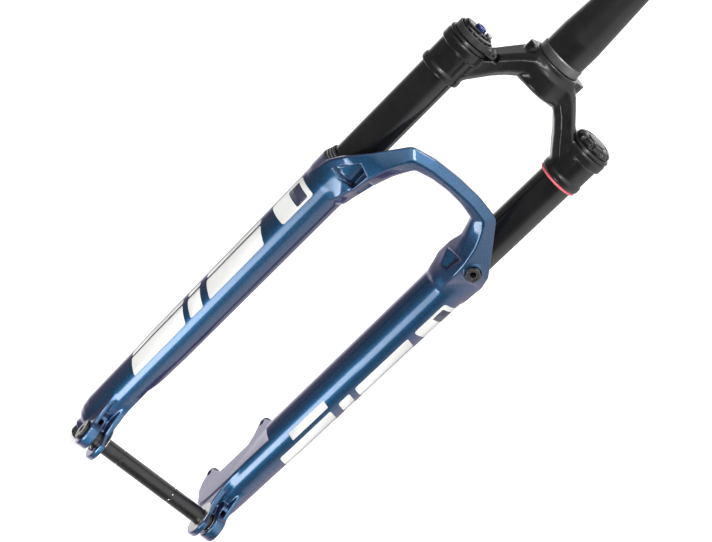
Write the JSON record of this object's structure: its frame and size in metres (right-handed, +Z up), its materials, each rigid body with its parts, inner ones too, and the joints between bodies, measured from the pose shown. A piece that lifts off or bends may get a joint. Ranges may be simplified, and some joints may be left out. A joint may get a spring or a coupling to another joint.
{
  "type": "bicycle suspension fork",
  "caption": "Telescopic bicycle fork: tapered steerer and forged crown hold two stanchions that slide in a one-piece lower casting with a front arch, through axle and post brake mount.",
  "frame": {"origin": "steerer axis at the crown race seat", "axes": "+Z up the steerer, -Y to the front of the bicycle, +X to the rider's left"},
  "size_m": [0.1768, 0.0905, 0.719],
  "materials": {
    "blue_paint": "gloss metallic paint on a light-alloy casting",
    "satin_black": "satin",
    "gloss_black": "gloss",
    "bare_alloy": "machined",
    "steel": "brushed",
    "brass": "satin",
    "black_plastic": "matte",
    "black_rubber": "matte",
    "red_rubber": "satin",
    "grey_polymer": "matte",
    "foam": "matte"
  },
  "bodies": {
    "upper": {"steerer_tube": "satin_black", "crown": "satin_black", "stanchion_damper": "gloss_black", "stanchion_air": "gloss_black", "damper_top_cap": "satin_black", "air_top_cap": "satin_black", "remote_bracket": "black_plastic", "damper_cartridge": "bare_alloy", "compression_valve": "brass", "damper_bladder": "black_rubber", "damper_seal_head": "satin_black", "air_seal_head": "bare_alloy", "air_seal_head_clip": "steel", "air_valve": "brass", "volume_spacer": "grey_polymer"},
    "lowers": {"lower_casting": "blue_paint", "wiper_seal_damper": "black_rubber", "wiper_seal_air": "black_rubber", "garter_spring_damper": "steel", "garter_spring_air": "steel", "foam_ring_damper": "foam", "foam_ring_air": "foam", "upper_bushing_damper": "grey_polymer", "upper_bushing_air": "grey_polymer", "lower_bushing_damper": "grey_polymer", "lower_bushing_air": "grey_polymer", "air_shaft": "bare_alloy", "top_out_bumper": "black_rubber", "air_piston": "bare_alloy", "piston_seal": "black_rubber", "bottom_out_bumper": "black_rubber", "damper_shaft": "bare_alloy", "rebound_piston": "brass", "crush_washer_damper": "bare_alloy", "crush_washer_air": "bare_alloy", "foot_bolt_air": "steel", "foot_bolt_damper": "steel", "axle_insert": "bare_alloy", "hose_guide": "black_plastic"},
    "spool": {"remote_spool": "black_plastic", "spool_screw": "steel", "cable_clamp_screw": "steel", "compression_shaft": "bare_alloy"},
    "knob": {"rebound_knob": "black_plastic", "rebound_rod": "bare_alloy"},
    "sag_marker": {"sag_ring": "red_rubber"},
    "cap": {"valve_cap": "black_plastic"},
    "axle": {"through_axle": "satin_black"}
  },
  "joints": [
    {"name": "fork_travel", "type": "slide", "parent": "upper", "child": "lowers", "axis": [0, 0, 1], "range_m": [0, 0.1], "stiffness_N_per_m": 6000},
    {"name": "lockout_spool", "type": "hinge", "parent": "upper", "child": "spool", "pos_m": [-0.0675, -0.012, -0.02], "axis": [0, 0, 1], "range_deg": [0, 75], "stiffness_Nm_per_rad": 0.05},
    {"name": "rebound_adjust", "type": "hinge", "parent": "lowers", "child": "knob", "pos_m": [-0.0675, -0.012, -0.525], "axis": [0, 0, -1], "range_deg": [-270, 270]},
    {"name": "axle_pull", "type": "slide", "parent": "lowers", "child": "axle", "axis": [-1, 0, 0], "range_m": [0, 0.16]},
    {"name": "valve_cap_lift", "type": "slide", "parent": "upper", "child": "cap", "axis": [0, 0, 1], "range_m": [0, 0.02]},
    {"name": "sag_ring_slide", "type": "slide", "parent": "upper", "child": "sag_marker", "axis": [0, 0, -1], "range_m": [0, 0.002]}
  ]
}
